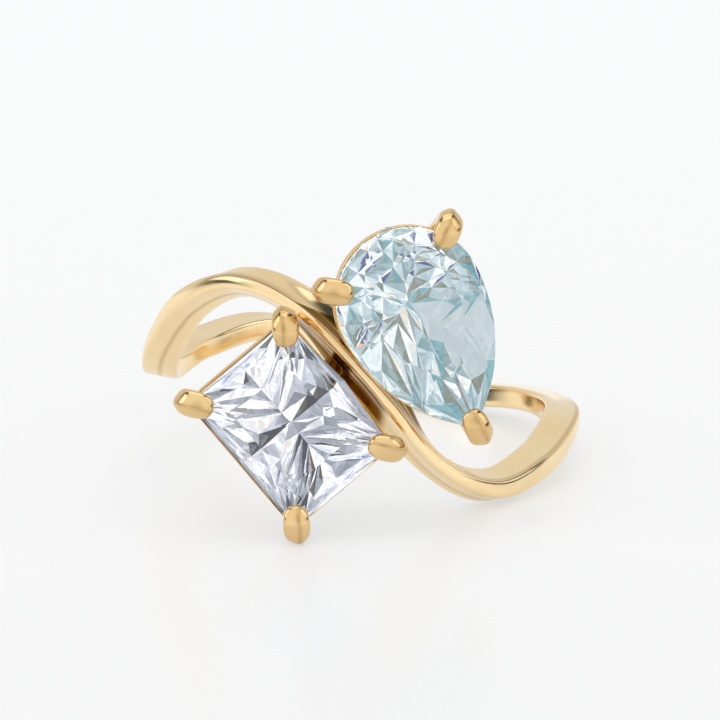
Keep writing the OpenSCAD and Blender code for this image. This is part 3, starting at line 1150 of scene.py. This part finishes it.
@dataclass
class CutStone:
    """A stone cut from a straight block of its outline, facet by facet."""

    name: str
    node: str
    outline: Outline
    place: Matrix
    crown: float
    pavilion: float
    crown_tiers: tuple[Tier, ...]
    pavilion_tiers: tuple[Tier, ...]
    sides: int = 96
    girdle_t: float = GIRDLE_T
    # Height and sideways shift of each round of small facets on the back
    rounds: tuple[tuple[float, float], ...] = ((0.035, 0.12),)
    seed: int = 7
    # How far the numbers of small facets stray from those of the facet they were cut from
    unevenness: float = 0.12
    # Direction in which painted shade darkens the back's facets towards the rim, and how much
    shade_to: tuple[float, float] = (0.0, 0.0)
    # Direction in degrees, half the sector and the painted flash of the facets that stay whole
    calm: tuple[float, float, float] = (0.0, 0.0, 0.0)
    # How far out those facets lie, as a share of the outline's reach
    calm_reach: float = 0.72
    # How far their painted flash follows their own number, and how still they are, from 0 to 1;
    # still facets mirror less and take an even painted glow
    calm_spread: float = 0.5
    calm_share: float = 0.72
    # The painted flash of the facets round the girdle
    girdle_flash: float = 0.8

    def block(self) -> bpy.types.Object:
        """The uncut block, a prism of the outline.

        Returns:
            The block in the stone's frame.
        """
        start_clean()
        bpy.ops.mesh.primitive_cylinder_add(vertices=self.sides, radius=1, depth=2)
        obj = bpy.context.object
        obj.name = self.name
        points = []
        for i in range(self.sides):
            x, y = self.outline.point(i / self.sides)
            points += [[x, y, -self.pavilion], [x, y, self.crown]]
        lay_vertices(obj, np.array(points))
        return obj

    def cut(self, tier: Tier, down: bool) -> None:
        """Grinds one row of facets on the open mesh.

        Args:
            tier: The row.
            down: Whether it lies on the pavilion.
        """
        side = -1 if down else 1
        deep = self.pavilion if down else self.crown
        for degrees in tier.azimuths:
            a = math.radians(degrees)
            reach = self.outline.reach(a) * tier.start
            low = self.girdle_t / 2 + tier.height * deep
            slope = math.atan2(tier.aim * deep - low, reach)
            out = Vector((math.cos(a), math.sin(a), 0))
            bpy.ops.mesh.select_all(action="SELECT")
            bpy.ops.mesh.bisect(
                plane_co=out * reach + Vector((0, 0, side * low)),
                plane_no=out * math.sin(slope) + Vector((0, 0, side * math.cos(slope))),
                use_fill=True,
                clear_outer=True,
                threshold=1e-5,
            )

    def is_calm(self, face: bpy.types.MeshPolygon) -> bool:
        """Whether a facet of the back lies in the sector that stays whole.

        Args:
            face: The facet.

        Returns:
            True where it does.
        """
        angle = math.atan2(face.center.y, face.center.x)
        turn = math.degrees(angle) - self.calm[0]
        inside = face.center.xy.length < self.calm_reach * self.outline.reach(angle)
        return inside and abs((turn + 180) % 360 - 180) < self.calm[1] and face.normal.z < -0.3

    def poke_back(self, obj: bpy.types.Object) -> None:
        """Breaks each facet of the back into a low, uneven star of small ones.

        Args:
            obj: The stone, open in edit mode.
        """
        bpy.ops.object.mode_set(mode="OBJECT")
        pick = np.random.default_rng(self.seed)
        for high, shift in self.rounds:
            for face in obj.data.polygons:
                face.select = face.normal.z < -0.05 and not self.is_calm(face)
            before = len(obj.data.vertices)
            edit_faces(obj)
            bpy.ops.mesh.poke(offset=high, use_relative_offset=False)
            bpy.ops.object.mode_set(mode="OBJECT")
            for vertex in obj.data.vertices[before:]:
                vertex.co += Vector((*pick.uniform(-shift, shift, 2), 0))
            obj.data.update()
            self.number(obj, pick)

    def number(self, obj: bpy.types.Object, pick: np.random.Generator) -> None:
        """Gives each facet a number, which the small facets cut from it later keep.

        Args:
            obj: The stone, in object mode.
            pick: The seeded draw.
        """
        if "facet" not in obj.data.attributes:
            numbers = pick.random(len(obj.data.polygons)).astype(np.float32)
            obj.data.attributes.new("facet", "FLOAT", "FACE").data.foreach_set("value", numbers)

    def mark(self, obj: bpy.types.Object) -> None:
        """Gives each facet its material, varies its flash number, and paints shade into it towards
        the rim.

        Args:
            obj: The stone, in its own frame.
        """
        pick = np.random.default_rng(self.seed)
        attribute = obj.data.attributes["facet"]
        flash = []
        for face, number in zip(obj.data.polygons, attribute.data):
            face.material_index = 1 if face.normal.z < 0.2 else 0
            spot = face.center
            # Painted shade towards the rim on one side of the back
            shade = (spot.x * self.shade_to[0] + spot.y * self.shade_to[1]) / self.outline.reach(0)
            on_girdle = abs(face.normal.z) < 0.2
            varied = number.value + pick.uniform(-self.unevenness, self.unevenness)
            flash.append(self.girdle_flash if on_girdle else varied - max(0.0, shade))
            # Facets that stay whole get an even painted flash
            if self.is_calm(face):
                flash[-1] = self.calm[2] + self.calm_spread * (number.value - 0.5)
        attribute.data.foreach_set("value", np.clip(flash, 0, 1).astype(np.float32))
        still = [self.calm_share * self.is_calm(face) for face in obj.data.polygons]
        obj.data.attributes.new("still", "FLOAT", "FACE").data.foreach_set("value", still)

    def build(self, crystal: list[bpy.types.Material], slot: Slot) -> None:
        """Cuts the stone and dresses it.

        Args:
            crystal: Finishes of the crown and of the back.
            slot: Slot of the record. Not used.
        """
        obj = self.block()
        edit_all(obj)
        for tier in self.crown_tiers:
            self.cut(tier, False)
        for tier in self.pavilion_tiers:
            self.cut(tier, True)
        bpy.ops.mesh.select_all(action="SELECT")
        bpy.ops.mesh.remove_doubles(threshold=1e-4)
        bpy.ops.mesh.dissolve_limited(angle_limit=math.radians(0.5))
        bpy.ops.mesh.normals_make_consistent(inside=False)
        self.poke_back(obj)
        bpy.ops.object.shade_flat()
        self.mark(obj)
        finish_piece(obj, crystal, self.node, self.place)


# The studio


@dataclass
class Studio:
    """Pale floor, soft light and the camera."""

    # Half the floor's side, and the point that the lights face, in metres
    floor_half: float = 3.0
    middle: tuple[float, float, float] = (0.0, 0.0, 0.006)
    # Degrees about the ring's own frame
    camera_azimuth: float = 3.80
    camera_elevation: float = 5.51
    camera_roll: float = 5.40
    camera_distance: float = 0.350
    # Focal length and sensor width in millimetres
    lens: float = 390.8
    sensor: float = 36.0
    shift: tuple[float, float] = (-0.0038, 0.0149)
    bounces: int = 28

    def floor(self) -> None:
        """The pale floor that the ring lies on."""
        start_clean()
        bpy.ops.mesh.primitive_plane_add(size=2 * self.floor_half, location=(0, 0, 0))
        obj = bpy.context.object
        obj.name = "floor"
        material, nodes, shader = new_material("pale_floor")
        where = nodes.add("ShaderNodeTexCoord").outputs["Object"]
        noise = nodes.add("ShaderNodeTexNoise", Vector=where, Scale=3.0)
        stops = (0.0, (0.487, 0.422, 0.387)), (1.0, (0.502, 0.437, 0.402))
        colour = nodes.ramp(noise.outputs["Fac"], *stops)
        nodes.put(shader.inputs["Base Color"], colour)
        shader.inputs["Emission Color"].default_value = (0.82, 0.935, 1.0, 1)
        shader.inputs["Emission Strength"].default_value = 0.508
        shader.inputs["Roughness"].default_value = 0.25
        shader.inputs["Specular IOR Level"].default_value = 0.12
        obj.data.materials.append(material)

    def softbox(
        self,
        name: str,
        place: tuple[float, float, float],
        size: tuple[float, float],
        watts: float,
    ) -> None:
        """Hangs a rectangular soft light that faces the ring's middle.

        Args:
            name: Name of the light.
            place: Where it stands, in metres.
            size: Its two sides, in metres.
            watts: Its power.
        """
        data = bpy.data.lights.new(name, "AREA")
        data.shape = "RECTANGLE"
        data.size, data.size_y = size
        data.energy = watts
        obj = bpy.data.objects.new(name, data)
        bpy.context.collection.objects.link(obj)
        obj.location = place
        obj.rotation_mode = "QUATERNION"
        obj.rotation_quaternion = (Vector(self.middle) - Vector(place)).to_track_quat("-Z", "Y")

    def lights(self) -> None:
        """The softboxes and the pale room round them."""
        self.softbox("top_light", (0.0, 0.15, 0.9), (0.9, 0.6), 2.0)
        self.softbox("left_light", (-0.8, -0.1, 0.45), (0.4, 0.7), 1.2)
        self.softbox("right_light", (0.8, 0.0, 0.45), (0.4, 0.7), 0.8)
        world = bpy.data.worlds.new("studio")
        bpy.context.scene.world = world
        world.use_nodes = True
        nodes = Nodes(world.node_tree)
        where = nodes.add("ShaderNodeTexCoord").outputs["Generated"]
        facing = nodes.add("ShaderNodeVectorMath")
        facing.operation = "DOT_PRODUCT"
        nodes.put(facing.inputs[0], where)
        facing.inputs[1].default_value = self.camera_axes()[2]
        share = nodes.add("ShaderNodeMapRange", Value=facing.outputs["Value"])
        share.inputs["From Min"].default_value = -1.0
        room = nodes.ramp(
            share.outputs["Result"],
            (0.0, (0.80, 0.80, 0.80)),
            (0.34, (0.80, 0.80, 0.80)),
            (0.43, (0.25, 0.25, 0.26)),
            (0.48, (0.04, 0.04, 0.05)),
            (0.58, (0.04, 0.04, 0.05)),
            (0.65, (0.60, 0.60, 0.60)),
            (0.71, (1.0, 1.0, 1.0)),
            (0.92, (1.08, 1.08, 1.08)),
            (1.0, (0.80, 0.80, 0.81)),
        )
        background = world.node_tree.nodes["Background"]
        nodes.put(background.inputs["Color"], room)
        background.inputs["Strength"].default_value = 1.0
        scene = bpy.context.scene
        scene.view_settings.view_transform = "Standard"
        scene.cycles.max_bounces = self.bounces
        scene.cycles.transmission_bounces = self.bounces
        scene.cycles.glossy_bounces = self.bounces

    def camera_axes(self) -> tuple[Vector, Vector, Vector]:
        """The camera's right, up and back directions in the row's frame.

        Returns:
            The three directions.
        """
        az, el = math.radians(self.camera_azimuth), math.radians(self.camera_elevation)
        roll = math.radians(self.camera_roll)
        back = Vector((math.sin(az) * math.cos(el), -math.cos(az) * math.cos(el), math.sin(el)))
        right = Vector((-back.y, back.x, 0)).normalized()
        up = back.cross(right)
        turned_right = right * math.cos(roll) + up * math.sin(roll)
        turned_up = up * math.cos(roll) - right * math.sin(roll)
        turn = RING_TO_ROW.to_3x3().normalized()
        return turn @ turned_right, turn @ turned_up, turn @ back

    def camera(self) -> None:
        """The camera at the photograph's angle to the ring."""
        axes = self.camera_axes()
        data = bpy.data.cameras.new("camera")
        data.lens = self.lens
        data.sensor_width = self.sensor
        data.shift_x, data.shift_y = self.shift
        data.clip_start, data.clip_end = 0.01, 20
        obj = bpy.data.objects.new("camera", data)
        bpy.context.collection.objects.link(obj)
        place = RING_ORIGIN_M + axes[2] * self.camera_distance
        obj.matrix_world = Matrix.Translation(place) @ Matrix(axes).transposed().to_4x4()
        bpy.context.scene.camera = obj


# The ring


def cup_depth(side: float, seat: float, bore_r: float = BORE_R, cup_floor: float = 0.8) -> float:
    """Depth of a cup from the girdle to its foot close round the finger."""
    return seat - math.sqrt((bore_r + cup_floor) ** 2 - side * side)


def radiant_setting() -> ClawSetting:
    """The four-claw setting of the radiant stone.

    Returns:
        The setting, not yet built.
    """
    outline, side, seat = RadiantOutline(), -3.33, 11.3
    cut = outline.corner / math.sqrt(2) / 2
    x, y = outline.length / 2 - cut, outline.width / 2 - cut
    return ClawSetting(
        name="radiant",
        outline=outline,
        place=setting_matrix(side, -1.52, 6, -44.5, seat),
        corners=[(-x, -y), (-x, y), (x, -y), (x, y)],
        cup=cup_depth(side, seat),
    )


def pear_setting() -> ClawSetting:
    """The three-claw setting of the pear stone.

    Returns:
        The setting, not yet built.
    """
    outline, side, seat = PearOutline(), -0.34, 11.9
    turn, head = math.radians(53), outline.width / 2
    return ClawSetting(
        name="pear",
        outline=outline,
        place=setting_matrix(side, 4.3, 14, 123, seat),
        corners=[
            (head * math.cos(turn), -head * math.sin(turn)),
            (head * math.cos(turn), head * math.sin(turn)),
            (0.3 + head - outline.length, 0),
        ],
        cup=cup_depth(side, seat),
        rail_steps=160,
        rail_out=0.06,
        boss_h=0.66,
    )


# Direction of the normal where the pear's arcs meet its point, in degrees
PEAR_SIDE = 145.75


def pear_spread(first: float, count: int) -> tuple[float, ...]:
    """Directions spread evenly along the pear's outline, in degrees."""
    return tuple(-PEAR_SIDE + 2 * PEAR_SIDE * (k + first) / count for k in range(count))


def radiant_stone(place: Matrix) -> CutStone:
    """The colourless radiant stone.

    Args:
        place: From the stone's frame to the ring's own frame.

    Returns:
        The stone, not yet cut.
    """
    return CutStone(
        name="radiant_gem",
        node="radiant_stone",
        outline=RadiantOutline(),
        place=place,
        crown=0.95,
        pavilion=2.3,
        crown_tiers=(
            Tier((0, 90, 180, 270, 52, 128, 232, 308), 2.27),
            Tier((14, 166, 194, 346, 76, 104, 256, 284), 2.2, 1.0, 0.16),
            Tier((32, 148, 212, 328), 1.75, 0.97, 0.22),
        ),
        pavilion_tiers=(
            Tier((90, 270), 1.22),
            Tier((0, 180), 1.55),
            Tier((52, 128, 232, 308), 1.42),
            Tier((80, 100, 260, 280), 1.08, 1.0, 0.02),
            Tier((10, 170, 190, 350), 1.36, 1.0, 0.02),
            Tier((66, 114, 246, 294), 1.03, 1.0, 0.03),
            Tier((24, 156, 204, 336), 1.20, 1.0, 0.03),
            Tier((38, 142, 218, 322), 1.10, 1.0, 0.04),
            Tier((86, 94, 266, 274), 0.985, 0.95, 0.12),
            Tier((4, 176, 184, 356), 1.22, 0.95, 0.12),
        ),
        rounds=((0.07, 0.22), (0.02, 0.08)),
        seed=5,
        unevenness=0.24,
    )


def pear_stone(place: Matrix) -> CutStone:
    """The pale aqua pear stone.

    Args:
        place: From the stone's frame to the ring's own frame.

    Returns:
        The stone, not yet cut.
    """
    return CutStone(
        name="pear_gem",
        node="pear_stone",
        outline=PearOutline(),
        place=place,
        crown=1.1,
        pavilion=2.6,
        crown_tiers=(
            Tier((*pear_spread(0.5, 16), 180), 2.7),
            Tier((*pear_spread(0, 8), PEAR_SIDE), 2.28, 1.0, 0.02),
            Tier(pear_spread(0.5, 8), 2.0, 0.95, 0.3),
        ),
        pavilion_tiers=(
            Tier((*pear_spread(0.5, 18), 180), 1.3),
            Tier((*pear_spread(0, 9), PEAR_SIDE), 1.0, 1.0, 0.02),
            Tier(pear_spread(0.5, 9), 0.97, 1.0, 0.08),
            Tier((20, 75, 130, 205, 255, 310), 0.93, 0.55, 0.45),
            Tier((45, 165, 285), 0.90, 0.4, 0.6),
        ),
        rounds=((0.08, 0.26), (0.02, 0.08)),
        seed=23,
        unevenness=0.2,
        shade_to=(-0.26, -0.16),
        calm=(210, 22, 0.60),
    )


# Painted flash colours of the clear stone's back, by flash number: greys and whites for painted
# flashes, dark navy and olive for painted shade and dark reflections, and a thin blue band of
# painted reflection
CLEAR_CRYSTAL = CutCrystal(
    name="clear_crystal",
    tint=(0.97, 0.98, 1.0),
    flashes=(
        (0.0, (0.40, 0.42, 0.47)),
        (0.06, (0.26, 0.27, 0.31)),
        (0.065, (0.004, 0.005, 0.014)),
        (0.145, (0.008, 0.01, 0.025)),
        (0.15, (0.075, 0.065, 0.03)),
        (0.175, (0.075, 0.065, 0.03)),
        (0.18, (0.16, 0.17, 0.19)),
        (0.30, (0.34, 0.36, 0.41)),
        (0.42, (0.58, 0.60, 0.67)),
        (0.58, (0.88, 0.90, 0.96)),
        (0.76, (1.0, 1.0, 1.0)),
        (0.88, (1.0, 1.0, 1.0)),
        (0.883, (0.05, 0.16, 0.74)),
        (0.893, (0.05, 0.16, 0.74)),
        (0.896, (1.0, 1.0, 1.0)),
        (1.0, (1.0, 1.0, 1.0)),
    ),
)

# Painted flash colours of the pale blue stone's back, by flash number: teal and greys, whites for
# painted flashes, a dark navy band of painted reflection and a thin orange band of painted fire
BLUE_CRYSTAL = CutCrystal(
    name="pale_blue_crystal",
    tint=(0.94, 0.98, 0.99),
    flashes=(
        (0.0, (0.18, 0.38, 0.43)),
        (0.14, (0.30, 0.48, 0.52)),
        (0.22, (0.20, 0.22, 0.18)),
        (0.30, (0.26, 0.28, 0.25)),
        (0.34, (0.38, 0.49, 0.53)),
        (0.60, (0.55, 0.66, 0.70)),
        (0.68, (0.92, 0.95, 0.97)),
        (0.86, (1.0, 1.0, 1.0)),
        (0.87, (0.05, 0.075, 0.24)),
        (0.94, (0.05, 0.075, 0.24)),
        (0.95, (1.0, 1.0, 1.0)),
        (0.965, (1.0, 1.0, 1.0)),
        (0.97, (1.0, 0.50, 0.28)),
        (0.98, (1.0, 0.50, 0.28)),
        (0.985, (1.0, 1.0, 1.0)),
    ),
    glow=(0.83, 0.95, 1.0),
)

# A darker copy of the band's gold for the claws: painted shade on the same metal
SHADED_CLAW_GOLD = PolishedGold(name="shaded_claw_gold", bright=(0.88, 0.65, 0.35), deep=(0.74, 0.49, 0.21))


def main() -> None:
    """Builds the ring piece by piece, then the studio round it."""
    logging.basicConfig(level=logging.INFO, format="%(name)s: %(message)s")
    polish = wear_group()
    band_gold = PolishedGold().material(polish)
    shaded_claw_gold = SHADED_CLAW_GOLD.material(polish)
    facets = facet_group()
    clear = CLEAR_CRYSTAL.pair(facets)
    blue = BLUE_CRYSTAL.pair(facets)
    Band().build(band_gold)
    settings = (radiant_setting(), pear_setting())
    Bridge(*(setting.place @ Vector((0, 0, -setting.cup)) for setting in settings)).build(band_gold)
    for setting in settings:
        setting.build(shaded_claw_gold)
    radiant_stone(settings[0].place).build(clear, Slot.CLEAR)
    pear_stone(settings[1].place).build(blue, Slot.BLUE)
    studio = Studio()
    studio.floor()
    studio.lights()
    studio.camera()


if __name__ == "__main__":
    main()
